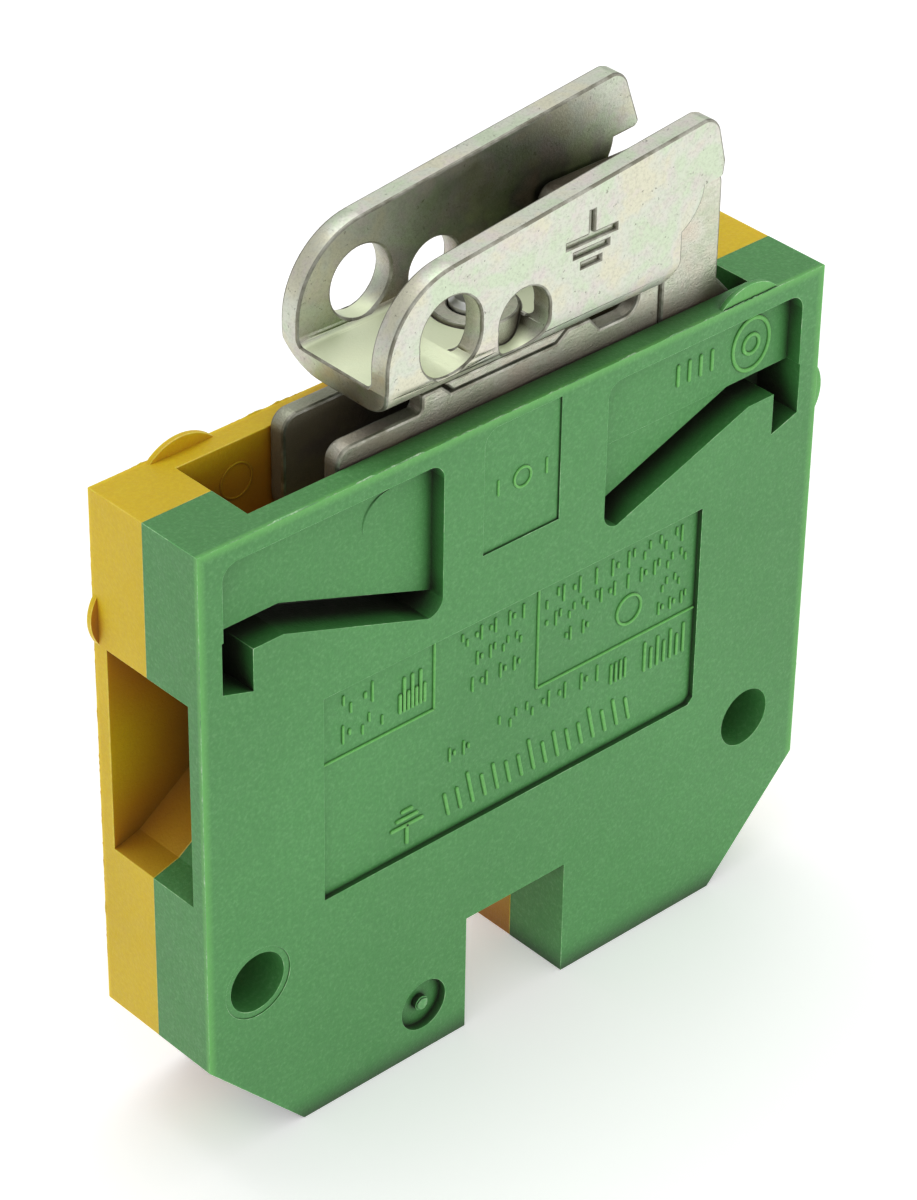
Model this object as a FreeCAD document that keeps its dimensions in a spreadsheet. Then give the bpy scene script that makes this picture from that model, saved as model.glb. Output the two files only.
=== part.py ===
"""Protective-earth terminal block for a DIN rail, as a parametric FreeCAD document.

The block stands on its two legs with its metal rail foot up: +X runs along the
block, +Y from the green half to the yellow half, +Z from the legs to the foot.
The origin is the middle of the plane that the legs stand on.  Millimetres.
"""

import FreeCAD, Part
import Sketcher
import math
import os

PARTS_FOLDER = "parts"

# Driving dimensions.  Every size below is a cell of the sheet "Dims".
DIMENSIONS = {
    # housing halves
    "half_length": 20.5,
    "half_width": 4.0,
    "shell_height": 36.7,
    "leg_half": 14.45,
    "leg_chamfer_top": 6.3,
    "notch_half": 3.45,
    "notch_top": 7.1,
    "cavity_half": 16.35,
    "cavity_floor": 32.0,
    "cavity_depth": 2.6,
    "marker_left": 17.33,
    "marker_right": 16.56,
    "marker_level": 10.38,
    "marker_radius": 1.7,
    "marker_ring_radius": 2.05,
    "marker_ring_depth": 0.06,
    # wire entries
    "funnel_depth": 3.05,
    "mouth_low": 16.15,
    "mouth_high": 28.0,
    "lip_place": 18.9,
    "lip_low": 16.6,
    "lip_high": 27.5,
    "throat_place": 15.1,
    "throat_low": 19.3,
    "throat_high": 23.6,
    "throat_depth": 1.9,
    # chambers for the wire clamps, the bar and the driver
    "chamber_outer": 13.1,
    "chamber_inner": 6.9,
    "chamber_low": 8.4,
    "chamber_high": 24.6,
    "chamber_depth": 2.6,
    "neck_pocket_half": 4.8,
    "bar_slot_half": 14.6,
    "bar_slot_low": 18.05,
    "bar_slot_high": 19.35,
    "bar_slot_depth": 1.65,
    "clamp_place": 10.0,
    "access_radius": 2.45,
    "tunnel_radius": 2.65,
    # outer face: label recesses, slots, panel, gate mark
    "recess_inner": 5.4,
    "recess_outer": 19.05,
    "recess_top": 35.6,
    "recess_depth": 0.9,
    "slot_depth": 2.9,
    "recess_corner": 0.9,
    "recess_line": 31.35,
    "recess_step": 0.07,
    "slot_top": 31.4,
    "slot_bend": 15.0,
    "slot_outer": 19.15,
    "slot_inner": 5.4,
    "slot_inner_top": 27.9,
    "slot_round_level": 27.85,
    "slot_round_radius": 0.95,
    "slot_heel_place": 6.3,
    "slot_heel_level": 27.05,
    "slot_low_bend": 15.45,
    "slot_low_level": 30.3,
    "slot_tail": 17.3,
    "slot_tail_low": 27.9,
    "slot_tail_outer_low": 28.5,
    "panel_left": -13.0,
    "panel_right": 12.5,
    "panel_low": 13.25,
    "panel_high": 25.4,
    "panel_cut": 0.35,
    "panel_depth": 0.3,
    "badge_left": -2.8,
    "badge_right": 2.25,
    "badge_low": 29.15,
    "badge_high": 36.2,
    "badge_depth": 0.12,
    "gate_place": -6.36,
    "gate_level": 3.0,
    "gate_radius": 1.5,
    "gate_depth": 0.5,
    "gate_nub_radius": 0.42,
    "gate_nub_height": 0.35,
    # tabs that stand on the rims
    "tab_left": 13.25,
    "tab_right": 17.15,
    "tab_bow": 2.78,
    "tab_thick": 0.4,
    "tab_inset": 0.1,
    "side_tab_low": 28.0,
    "side_tab_high": 30.8,
    "side_tab_bow": 2.4,
    # pegs and sockets between the halves
    "peg_radius": 0.8,
    "socket_radius": 0.83,
    "peg_length": 1.1,
    "socket_depth": 1.3,
    "upper_peg_place": 18.4,
    "upper_peg_level": 33.2,
    "lower_peg_place": 5.5,
    "lower_peg_level": 11.5,
    # foot frame
    "frame_half_width": 2.45,
    "frame_half_gap": 1.45,
    "frame_base": 19.3,
    "frame_web_top": 20.3,
    "frame_neck": 4.65,
    "frame_shoulder": 32.2,
    "frame_left": -10.8,
    "frame_left_top": 37.65,
    "frame_step": -5.5,
    "frame_top": 38.6,
    "notch_left": -4.2,
    "notch_left_low": -3.6,
    "ear_notch_low": 38.05,
    "notch_right_low": 3.25,
    "notch_right": 4.0,
    "window_left": 5.5,
    "window_left_low": 6.2,
    "window_low": 37.8,
    "window_right": 8.7,
    "arm_under": 40.6,
    "arm_nose": 6.3,
    "arm_nose_low": 42.4,
    "arm_top": 43.9,
    "rear_arm_top": 43.6,
    "arm_right": 14.28,
    "arm_foot_top": 37.6,
    "arm_foot": 15.5,
    "arm_foot_low": 36.2,
    "frame_corner": 0.9,
    "frame_bend": 0.9,
    "seam_place": 10.2,
    "seam_width": 0.14,
    "seam_top": 39.2,
    "seam_depth": 0.25,
    # current bar
    "bar_half": 14.5,
    "bar_half_width": 1.6,
    "bar_base": 18.1,
    "bar_rib_pitch": 0.8,
    "bar_rib_depth": 0.12,
    "bar_rib_width": 0.3,
    # rail clamp
    "clamp_half_width": 3.8,
    "clamp_half_gap": 2.6,
    "clamp_base": 38.7,
    "clamp_web_top": 40.35,
    "clamp_bend": 2.2,
    "clamp_inner_bend": 0.45,
    "clamp_start": -8.4,
    "clamp_nose": -8.9,
    "clamp_nose_low": 40.4,
    "clamp_nose_level": 41.43,
    "clamp_nose_radius": 4.535,
    "clamp_crown": -4.9,
    "clamp_crown_level": 45.93,
    "clamp_end": 11.5,
    "clamp_end_top": 47.88,
    "clamp_corner_radius": 1.15,
    "clamp_side": 12.55,
    "clamp_side_top": 47.05,
    "clamp_tip": 13.0,
    "clamp_tip_level": 45.2,
    "clamp_tip_base": 12.9,
    "clamp_tip_low": 44.45,
    "rear_tip": 13.38,
    "rear_tip_level": 44.7,
    "rear_tip_base": 13.15,
    "hook_top": 11.7,
    "hook_top_level": 44.33,
    "hook_radius": 2.9,
    "hook_side": 10.25,
    "hook_level": 42.2,
    "heel_level": 41.0,
    "heel_radius": 2.1,
    "heel_place": 8.5,
    "web_end": 6.4,
    "clamp_hole_place": -4.9,
    "clamp_hole_level": 42.4,
    "clamp_hole_radius": 1.9,
    "small_hole_place": -0.2,
    "small_hole_level": 41.4,
    "small_hole_radius": 1.62,
    "hole_drop": 0.5,
    "web_hole_radius": 2.2,
    # earth symbol stamped in the clamp
    "stamp_depth": 0.2,
    "stamp_place": 4.05,
    "stamp_level": 44.25,
    "stamp_line": 0.12,
    "stamp_stem": 1.25,
    "stamp_pitch": 0.68,
    "stamp_bar": 1.6,
    "stamp_bar_step": 0.5,
    # nut plate
    "nut_base": 38.15,
    "nut_left": -4.05,
    "nut_left_low": -3.5,
    "nut_right_low": 3.15,
    "nut_right": 3.9,
    "nut_half_width": 2.45,
    "nut_collar_top": 40.55,
    "nut_bore": 1.3,
    # foot screw and its washer
    "foot_screw_radius": 1.25,
    "foot_bore": 1.33,
    "foot_head_radius": 2.25,
    "foot_head_low": 15.8,
    "foot_head_top": 17.5,
    "foot_screw_tip": 41.0,
    "washer_outer": 2.2,
    "washer_inner": 1.4,
    "washer_gap": 0.4,
    # wire clamps
    "yoke_half_length": 2.75,
    "yoke_half_width": 2.5,
    "yoke_low": 13.2,
    "yoke_high": 24.3,
    "yoke_window_low": 16.7,
    "yoke_window_high": 23.3,
    "yoke_window_half": 1.7,
    "yoke_bore": 1.58,
    "yoke_corner": 0.6,
    "clamp_screw_radius": 1.5,
    "clamp_head_radius": 2.2,
    "clamp_head_low": 5.9,
    "clamp_head_top": 8.1,
    "clamp_screw_tip": 18.05,
    # shared screw details
    "slot_half": 0.4,
    "slot_reach": 3.0,
    "slot_cut": 1.0,
    "screw_edge": 0.25,
}


def value(expression):
    """Number for a sum or difference of cell names and plain numbers."""
    total = 0.0
    sign = 1.0
    for word in str(expression).split():
        if word == "+":
            sign = 1.0
        elif word == "-":
            sign = -1.0
        elif word in DIMENSIONS:
            total += sign * DIMENSIONS[word]
        else:
            total += sign * float(word)
    return total


def bound(expression):
    """The same sum, written for FreeCAD's expression engine."""
    words = str(expression).split()
    return " ".join("Dims." + word if word in DIMENSIONS else word for word in words)


def flip(expression):
    """The negative of a sum."""
    words = str(expression).split()
    if words[0] not in ("+", "-"):
        words.insert(0, "+")
    swapped = [{"+": "-", "-": "+"}.get(word, word) for word in words]
    if swapped[0] == "+":
        swapped.pop(0)
    return " ".join(swapped)


def mirrored(path):
    """A path reflected in X = 0, its arcs bulging the other way."""
    out = []
    for item in path:
        arc = (item[2], -item[3]) if len(item) > 2 else ()
        out.append((flip(item[0]), item[1]) + arc)
    return out


def rectangle(left, low, right, high):
    return [(left, low), (right, low), (right, high), (left, high)]


def make_sheet(doc):
    sheet = doc.addObject("Spreadsheet::Sheet", "Dims")
    for row, (name, number) in enumerate(DIMENSIONS.items(), start=1):
        sheet.set(f"A{row}", name)
        sheet.set(f"B{row}", str(number))
        sheet.setAlias(f"B{row}", name)
    doc.recompute()
    return sheet


def make_body(doc, label):
    body = doc.addObject("PartDesign::Body", "Body_" + label)
    body.Label = label
    return body


def make_sketch(body, name, role, offset="0"):
    """Sketch on an origin plane of its own body, moved along the plane's normal."""
    plane = next(item for item in body.Origin.OriginFeatures if item.Role == role)
    sketch = body.newObject("Sketcher::SketchObject", name)
    sketch.AttachmentSupport = [(plane, "")]
    sketch.MapMode = "FlatFace"
    height = FreeCAD.Vector(0, 0, value(offset))
    sketch.AttachmentOffset = FreeCAD.Placement(height, FreeCAD.Rotation())
    sketch.setExpression("AttachmentOffset.Base.z", bound(offset))
    return sketch


def fix_point(sketch, element, end, place):
    """Tie a point to the sketch's origin by two sizes from the sheet."""
    for kind, expression in zip(("DistanceX", "DistanceY"), place):
        constraint = Sketcher.Constraint(kind, -1, 1, element, end, value(expression))
        number = sketch.addConstraint(constraint)
        sketch.setExpression(f"Constraints[{number}]", bound(expression))


def arc_between(start, end, radius, side):
    """Minor arc of a radius; side 1 bulges right of the way from start to end."""
    chord = end - start
    half = chord.Length / 2
    across = FreeCAD.Vector(chord.y, -chord.x, 0).normalize() * side
    rise = radius - math.sqrt(max(radius ** 2 - half ** 2, 0.0))
    middle = (start + end) * 0.5 + across * rise
    return Part.Arc(start, middle, end)


def add_path(sketch, path):
    """Closed outline.  A point is (x, y), or (x, y, radius, side) before an arc."""
    places = [FreeCAD.Vector(value(p[0]), value(p[1]), 0) for p in path]
    for index, item in enumerate(path):
        start = places[index]
        end = places[(index + 1) % len(path)]
        if len(item) > 2:
            curve = arc_between(start, end, value(item[2]), item[3])
            number = sketch.addGeometry(curve, False)
            forward = sketch.getPoint(number, 1).isEqual(start, 1e-6)
            fix_point(sketch, number, 1 if forward else 2, item[:2])
            after = path[(index + 1) % len(path)]
            fix_point(sketch, number, 2 if forward else 1, after[:2])
            limit = sketch.addConstraint(
                Sketcher.Constraint("Radius", number, value(item[2]))
            )
            sketch.setExpression(f"Constraints[{limit}]", bound(item[2]))
        else:
            number = sketch.addGeometry(Part.LineSegment(start, end), False)
            after = path[(index + 1) % len(path)]
            fix_point(sketch, number, 1, item[:2])
            fix_point(sketch, number, 2, after[:2])


def add_circle(sketch, x, y, radius):
    centre = FreeCAD.Vector(value(x), value(y), 0)
    circle = Part.Circle(centre, FreeCAD.Vector(0, 0, 1), value(radius))
    number = sketch.addGeometry(circle, False)
    fix_point(sketch, number, 3, (x, y))
    limit = sketch.addConstraint(Sketcher.Constraint("Radius", number, value(radius)))
    sketch.setExpression(f"Constraints[{limit}]", bound(radius))


def pad(body, sketch, name, length, reverse=False):
    """Pad that has to add material."""
    before = body.Shape.Volume if body.Tip else 0.0
    feature = body.newObject("PartDesign::Pad", name)
    feature.Profile = sketch
    feature.setExpression("Length", bound(length))
    feature.Reversed = reverse
    body.Document.recompute()
    if body.Shape.Volume <= before:
        raise RuntimeError(f"{body.Label}: {name} adds nothing")
    return feature


def pocket(body, sketch, name, length, reverse=False):
    """Pocket that has to remove material."""
    before = body.Shape.Volume
    feature = body.newObject("PartDesign::Pocket", name)
    feature.Profile = sketch
    feature.setExpression("Length", bound(length))
    feature.Reversed = reverse
    body.Document.recompute()
    if body.Shape.Volume >= before - 1e-6:
        raise RuntimeError(f"{body.Label}: {name} removes nothing")
    return feature


def edges_where(shape, test):
    """Names of the edges that pass a test on the edge."""
    return [f"Edge{n}" for n, edge in enumerate(shape.Edges, start=1) if test(edge)]


def dress(body, kind, name, size, test):
    """Fillet or Chamfer on the edges of the tip that pass a test."""
    base = body.Tip
    names = edges_where(base.Shape, test)
    if not names:
        raise RuntimeError(f"{body.Label}: {name} finds no edge")
    feature = body.newObject("PartDesign::" + kind, name)
    feature.Base = (base, names)
    feature.setExpression("Radius" if kind == "Fillet" else "Size", bound(size))
    body.Document.recompute()
    if not feature.isValid():
        raise RuntimeError(f"{body.Label}: {name} fails")
    return feature


def edge_at(x=None, y=None, z=None, along=None, near=0.02):
    """Test for a straight edge through the given coordinates along one axis."""
    wanted = (x, y, z)

    def test(edge):
        if not isinstance(edge.Curve, Part.Line):
            return False
        ends = [vertex.Point for vertex in edge.Vertexes]
        if along is not None:
            span = ends[1] - ends[0]
            if abs(abs(span[along]) - span.Length) > 1e-6:
                return False
        return all(
            limit is None or abs(point[axis] - limit) < near
            for point in ends
            for axis, limit in enumerate(wanted)
        )

    return test


# ---------------------------------------------------------------- housing


def shell_outline():
    return [
        ("- half_length", "leg_chamfer_top"),
        ("- leg_half", "0"),
        ("- notch_half", "0"),
        ("- notch_half", "notch_top"),
        ("notch_half", "notch_top"),
        ("notch_half", "0"),
        ("leg_half", "0"),
        ("half_length", "leg_chamfer_top"),
        ("half_length", "shell_height"),
        ("- half_length", "shell_height"),
    ]


def funnel_path():
    """Half funnel at the +X end, seen from the side."""
    return [
        ("half_length + 1", "mouth_low"),
        ("half_length", "mouth_low"),
        ("lip_place", "lip_low"),
        ("throat_place", "throat_low"),
        ("throat_place", "throat_high"),
        ("lip_place", "lip_high"),
        ("half_length", "mouth_high"),
        ("half_length + 1", "mouth_high"),
    ]


def z_slot_path():
    """Z-shaped slot of the label recess at the +X end."""
    return [
        ("slot_outer", "slot_top"),
        ("slot_bend", "slot_top"),
        ("slot_inner", "slot_inner_top"),
        ("slot_inner", "slot_round_level", "slot_round_radius", 1),
        ("slot_heel_place", "slot_heel_level"),
        ("slot_low_bend", "slot_low_level"),
        ("slot_tail", "slot_low_level"),
        ("slot_tail", "slot_tail_low"),
        ("slot_outer", "slot_tail_outer_low"),
    ]


def cut_inside(body):
    """Everything hollow that opens on the plane between the halves."""
    floors = [
        ("FootCavity", "cavity_depth", [
            rectangle("- cavity_half", "cavity_floor", "cavity_half", "shell_height + 1")]),
        ("WireFunnels", "funnel_depth", [funnel_path(), mirrored(funnel_path())]),
        ("WireThroats", "throat_depth", [
            rectangle("chamber_outer - 1", "throat_low", "throat_place + 1", "throat_high"),
            rectangle("- throat_place - 1", "throat_low", "1 - chamber_outer", "throat_high")]),
        ("ClampChambers", "chamber_depth", [
            rectangle("chamber_inner", "chamber_low", "chamber_outer", "chamber_high"),
            rectangle("- chamber_outer", "chamber_low", "- chamber_inner", "chamber_high")]),
        ("NeckChamber", "cavity_depth", [
            rectangle("- neck_pocket_half", "bar_slot_low", "neck_pocket_half", "cavity_floor + 1")]),
        ("BarSlot", "bar_slot_depth", [
            rectangle("- bar_slot_half", "bar_slot_low", "bar_slot_half", "bar_slot_high")]),
    ]
    for name, depth, paths in floors:
        sketch = make_sketch(body, name + "Sketch", "XZ_Plane")
        for path in paths:
            add_path(sketch, path)
        pocket(body, sketch, name, depth, reverse=True)


def cut_driver_holes(body):
    """Holes up from the legs: one over each clamp screw, one for the foot screw."""
    sketch = make_sketch(body, "AccessSketch", "XY_Plane")
    add_circle(sketch, "clamp_place", "0", "access_radius")
    add_circle(sketch, "- clamp_place", "0", "access_radius")
    pocket(body, sketch, "AccessHoles", "chamber_low + 0.5", reverse=True)
    sketch = make_sketch(body, "TunnelSketch", "XY_Plane", "notch_top - 1")
    add_circle(sketch, "0", "0", "tunnel_radius")
    pocket(body, sketch, "DriverTunnel", "bar_slot_low - notch_top + 1.5", reverse=True)


def cut_marker_holes(body, left, right):
    """Through holes for the marker rods, with a shallow ring around the left one."""
    sketch = make_sketch(body, "MarkerHoleSketch", "XZ_Plane", "half_width")
    add_circle(sketch, flip(left), "marker_level", "marker_radius")
    add_circle(sketch, right, "marker_level", "marker_radius")
    pocket(body, sketch, "MarkerHoles", "half_width + 1")
    sketch = make_sketch(body, "MarkerRingSketch", "XZ_Plane", "half_width")
    add_circle(sketch, flip(left), "marker_level", "marker_ring_radius")
    pocket(body, sketch, "MarkerRing", "marker_ring_depth")


def cut_outer_face(body):
    """Label recesses, slots, panels and the gate mark."""
    face = "half_width"
    recess = [
        ("recess_inner", "slot_inner_top"),
        ("slot_bend", "slot_top"),
        ("recess_outer", "slot_top"),
        ("recess_outer", "recess_top - recess_corner", "recess_corner", 1),
        ("recess_outer - recess_corner", "recess_top"),
        ("recess_inner + recess_corner", "recess_top", "recess_corner", 1),
        ("recess_inner", "recess_top - recess_corner"),
    ]
    step = [
        ("recess_inner", "slot_inner_top"),
        ("slot_bend", "slot_top"),
        ("recess_inner", "recess_line"),
    ]
    panel = rectangle("panel_left", "panel_low", "panel_right", "panel_high")
    panel[1] = ("panel_right - panel_cut", "panel_low")
    panel.insert(2, ("panel_right", "panel_low + panel_cut"))
    badge = rectangle("badge_left", "badge_low", "badge_right", "badge_high")
    badge[3] = ("badge_left", "badge_high - recess_corner")
    badge.insert(3, ("badge_left + recess_corner", "badge_high", "recess_corner", 1))
    floors = [
        ("LabelRecesses", "recess_depth", [recess, mirrored(recess)]),
        ("RecessStep", "recess_depth + recess_step", [step]),
        ("LabelSlots", "slot_depth", [z_slot_path(), mirrored(z_slot_path())]),
        ("TextPanel", "panel_depth", [panel]),
        ("Badge", "badge_depth", [badge]),
    ]
    for name, depth, paths in floors:
        sketch = make_sketch(body, name + "Sketch", "XZ_Plane", face)
        for path in paths:
            add_path(sketch, path)
        pocket(body, sketch, name, depth)

    sketch = make_sketch(body, "GateSketch", "XZ_Plane", face)
    add_circle(sketch, "gate_place", "gate_level", "gate_radius")
    pocket(body, sketch, "GateDimple", "gate_depth")
    sketch = make_sketch(body, "GateNubSketch", "XZ_Plane", "half_width - gate_depth")
    add_circle(sketch, "gate_place", "gate_level", "gate_nub_radius")
    pad(body, sketch, "GateNub", "gate_nub_height")


def add_rim_tabs(body):
    """Thin bowed gate tabs on the top edge and on the +X end edge of the outer face."""
    sketch = make_sketch(body, "RimTabSketch", "XZ_Plane", "half_width - tab_thick")
    add_path(sketch, [
        ("tab_right", "shell_height", "tab_bow", 1),
        ("tab_left", "shell_height"),
        ("tab_left", "shell_height - tab_inset"),
        ("tab_right", "shell_height - tab_inset"),
    ])
    add_path(sketch, [
        ("half_length", "side_tab_low", "side_tab_bow", 1),
        ("half_length", "side_tab_high"),
        ("half_length - tab_inset", "side_tab_high"),
        ("half_length - tab_inset", "side_tab_low"),
    ])
    pad(body, sketch, "RimTabs", "tab_thick - tab_inset")


def add_pegs(body):
    """Pegs at +X and sockets at -X, so that two alike halves fit face to face."""
    pegs = (("upper_peg_place", "upper_peg_level"), ("lower_peg_place", "lower_peg_level"))
    sketch = make_sketch(body, "SocketSketch", "XZ_Plane")
    for place, level in pegs:
        add_circle(sketch, flip(place), level, "socket_radius")
    pocket(body, sketch, "Sockets", "socket_depth", reverse=True)
    sketch = make_sketch(body, "PegSketch", "XZ_Plane")
    for place, level in pegs:
        add_circle(sketch, place, level, "peg_radius")
    pad(body, sketch, "Pegs", "peg_length", reverse=True)


def make_shell(doc, label, turn, left, right):
    """One housing half; the other is turned half round and has its holes swapped over."""
    body = make_body(doc, label)
    sketch = make_sketch(body, "OutlineSketch", "XZ_Plane")
    add_path(sketch, shell_outline())
    pad(body, sketch, "Plate", "half_width")
    cut_inside(body)
    cut_driver_holes(body)
    cut_marker_holes(body, left, right)
    cut_outer_face(body)
    add_rim_tabs(body)
    add_pegs(body)
    axis = FreeCAD.Vector(0, 0, 1)
    body.Placement = FreeCAD.Placement(FreeCAD.Vector(), FreeCAD.Rotation(axis, turn))
    return body


# ------------------------------------------------------------- metal foot


def frame_profile():
    """Side view of the foot frame: web, neck, left lip, ear notch, window and arm."""
    return [
        ("- frame_neck", "frame_base"),
        ("frame_neck", "frame_base"),
        ("frame_neck", "frame_shoulder"),
        ("arm_foot", "frame_shoulder"),
        ("arm_foot", "arm_foot_low"),
        ("arm_right", "arm_foot_top"),
        ("arm_right", "arm_top"),
        ("arm_nose", "arm_top"),
        ("arm_nose", "arm_nose_low"),
        ("window_right", "arm_under"),
        ("window_right", "window_low"),
        ("window_left_low", "window_low"),
        ("window_left", "frame_top"),
        ("notch_right", "frame_top"),
        ("notch_right_low", "ear_notch_low"),
        ("notch_left_low", "ear_notch_low"),
        ("notch_left", "frame_top"),
        ("frame_step", "frame_top"),
        ("frame_step", "frame_left_top"),
        ("frame_left", "frame_left_top"),
        ("frame_left", "frame_shoulder"),
        ("- frame_neck", "frame_shoulder"),
    ]


def make_foot_frame(doc):
    """U-shaped steel frame: two plates joined by a web that rests on the bar."""
    body = make_body(doc, "foot_frame")
    sketch = make_sketch(body, "ProfileSketch", "XZ_Plane", "- frame_half_width")
    add_path(sketch, frame_profile())
    pad(body, sketch, "Profile", "frame_half_width + frame_half_width")
    sketch = make_sketch(body, "GapSketch", "YZ_Plane", "half_length")
    add_path(sketch, rectangle(
        "- frame_half_gap", "frame_web_top", "frame_half_gap", "arm_top + 1"))
    pocket(body, sketch, "Gap", "half_length + half_length")
    sketch = make_sketch(body, "ScrewHoleSketch", "XY_Plane", "frame_base - 1")
    add_circle(sketch, "0", "0", "foot_bore")
    pocket(body, sketch, "ScrewHole", "frame_web_top - frame_base + 2", reverse=True)

    sketch = make_sketch(body, "RearArmSketch", "XZ_Plane")
    add_path(sketch, rectangle(
        "arm_nose - 1", "rear_arm_top", "arm_right + 1", "arm_top + 1"))
    pocket(body, sketch, "RearArmTop", "frame_half_width + 1")
    sketch = make_sketch(body, "SeamSketch", "XZ_Plane", "frame_half_width")
    add_path(sketch, rectangle(
        "seam_place", "frame_shoulder - 1", "seam_place + seam_width", "seam_top"))
    pocket(body, sketch, "Seam", "seam_depth")

    def rounded_corner(edge):
        corners = (
            ("frame_left", "frame_left_top"),
            ("frame_left", "frame_shoulder"),
            ("arm_right", "arm_top"),
            ("arm_nose", "arm_top"),
            ("arm_right", "rear_arm_top"),
            ("arm_nose", "rear_arm_top"),
            ("window_right", "window_low"),
        )
        return any(
            edge_at(x=value(x), z=value(z), along=1)(edge) for x, z in corners
        )

    dress(body, "Fillet", "Corners", "frame_corner", rounded_corner)
    dress(body, "Fillet", "StepRound", "screw_edge",
          edge_at(x=value("frame_step"), z=value("frame_left_top"), along=1))
    for side in (-1, 1):
        dress(body, "Fillet", f"Bend{side + 2}", "frame_bend",
              edge_at(y=side * value("frame_half_width"), z=value("frame_base"), along=0))
    return body


def make_current_bar(doc):
    """Flat bar under both wires, with grip ribs where the wires lie."""
    body = make_body(doc, "current_bar")
    sketch = make_sketch(body, "BarSketch", "XY_Plane", "bar_base")
    add_path(sketch, rectangle(
        "- bar_half", "- bar_half_width", "bar_half", "bar_half_width"))
    pad(body, sketch, "Bar", "frame_base - bar_base")
    sketch = make_sketch(body, "HoleSketch", "XY_Plane", "bar_base - 1")
    add_circle(sketch, "0", "0", "foot_bore")
    pocket(body, sketch, "ScrewHole", "frame_base - bar_base + 2", reverse=True)
    sketch = make_sketch(body, "GrooveSketch", "XY_Plane", "frame_base")
    for side in ("clamp_place", "- clamp_place"):
        for step in (-2, -1, 0, 1, 2):
            sign = "+" if step >= 0 else "-"
            shift = (" " + sign + " bar_rib_pitch") * abs(step)
            add_path(sketch, rectangle(
                side + shift, "- bar_half_width - 1",
                side + shift + " + bar_rib_width", "bar_half_width + 1"))
    pocket(body, sketch, "GripGrooves", "bar_rib_depth")
    return body


def clamp_profile(tip, tip_level, tip_base):
    """Side view of one flange of the rail clamp: nose, top edge, tip, hook and heel."""
    return [
        ("clamp_start", "clamp_base - 1"),
        ("clamp_start", "clamp_base"),
        ("clamp_nose", "clamp_nose_low"),
        ("clamp_nose", "clamp_nose_level", "clamp_nose_radius", -1),
        ("clamp_crown", "clamp_crown_level"),
        ("clamp_end", "clamp_end_top", "clamp_corner_radius", -1),
        ("clamp_side", "clamp_side_top"),
        (tip, tip_level),
        (tip_base, "clamp_tip_low"),
        ("hook_top", "hook_top_level", "hook_radius", -1),
        ("hook_side", "hook_level"),
        ("hook_side", "heel_level", "heel_radius", -1),
        ("heel_place", "clamp_base"),
        ("heel_place", "clamp_base - 1"),
    ]


def stamp_earth_symbol(body):
    """Earth symbol: a stem and three bars that grow shorter."""
    sketch = make_sketch(body, "StampSketch", "XZ_Plane", "clamp_half_width")
    add_path(sketch, rectangle(
        "stamp_place - stamp_line", "stamp_level + stamp_line",
        "stamp_place + stamp_line", "stamp_level + stamp_line + stamp_stem"))
    for row in range(3):
        drop = " - stamp_pitch" * row
        less = " - stamp_bar_step" * row
        more = " + stamp_bar_step" * row
        add_path(sketch, rectangle(
            "stamp_place - stamp_bar" + more, "stamp_level - stamp_line" + drop,
            "stamp_place + stamp_bar" + less, "stamp_level + stamp_line" + drop))
    pocket(body, sketch, "Stamp", "stamp_depth")


def make_rail_clamp(doc):
    """Bent steel channel whose nose and hook grip the rail's two lips."""
    body = make_body(doc, "rail_clamp")
    sketch = make_sketch(body, "BlockSketch", "YZ_Plane", "clamp_nose - 1")
    add_path(sketch, rectangle(
        "- clamp_half_width", "clamp_base", "clamp_half_width", "clamp_end_top + 1"))
    pad(body, sketch, "Block", "clamp_tip - clamp_nose + 2")
    dress(body, "Fillet", "OuterBends", "clamp_bend",
          edge_at(z=value("clamp_base"), along=0))
    sketch = make_sketch(body, "ChannelSketch", "YZ_Plane", "clamp_tip + 2")
    add_path(sketch, rectangle(
        "- clamp_half_gap", "clamp_web_top", "clamp_half_gap", "clamp_end_top + 2"))
    pocket(body, sketch, "Channel", "clamp_tip - clamp_nose + 4")
    dress(body, "Fillet", "InnerBends", "clamp_inner_bend",
          edge_at(z=value("clamp_web_top"), along=0))

    flanges = (
        ("Front", "clamp_half_width + 1", ("clamp_tip", "clamp_tip_level", "clamp_tip_base")),
        ("Rear", "0", ("rear_tip", "rear_tip_level", "rear_tip_base")),
    )
    for side, offset, tip in flanges:
        sketch = make_sketch(body, side + "TrimSketch", "XZ_Plane", offset)
        add_path(sketch, rectangle(
            "clamp_nose - 2", "clamp_base - 2", "clamp_tip + 2", "clamp_end_top + 3"))
        add_path(sketch, clamp_profile(*tip))
        pocket(body, sketch, side + "Trim", "clamp_half_width + 1")

    holes = (
        ("Upper", "", "clamp_half_width + clamp_half_width + 2"),
        ("Lower", " - hole_drop", "clamp_half_width + 1"),
    )
    for row, drop, length in holes:
        sketch = make_sketch(body, row + "HoleSketch", "XZ_Plane", "clamp_half_width + 1")
        add_circle(sketch, "clamp_hole_place", "clamp_hole_level" + drop, "clamp_hole_radius")
        add_circle(sketch, "small_hole_place", "small_hole_level" + drop, "small_hole_radius")
        pocket(body, sketch, row + "Holes", length)

    sketch = make_sketch(body, "WebCutSketch", "XY_Plane", "clamp_base - 1")
    add_circle(sketch, "0", "0", "web_hole_radius")
    add_path(sketch, rectangle(
        "web_end", "- clamp_half_gap", "clamp_tip + 1", "clamp_half_gap"))
    pocket(body, sketch, "WebCuts", "clamp_bend + 1.4", reverse=True)
    stamp_earth_symbol(body)
    return body


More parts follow.
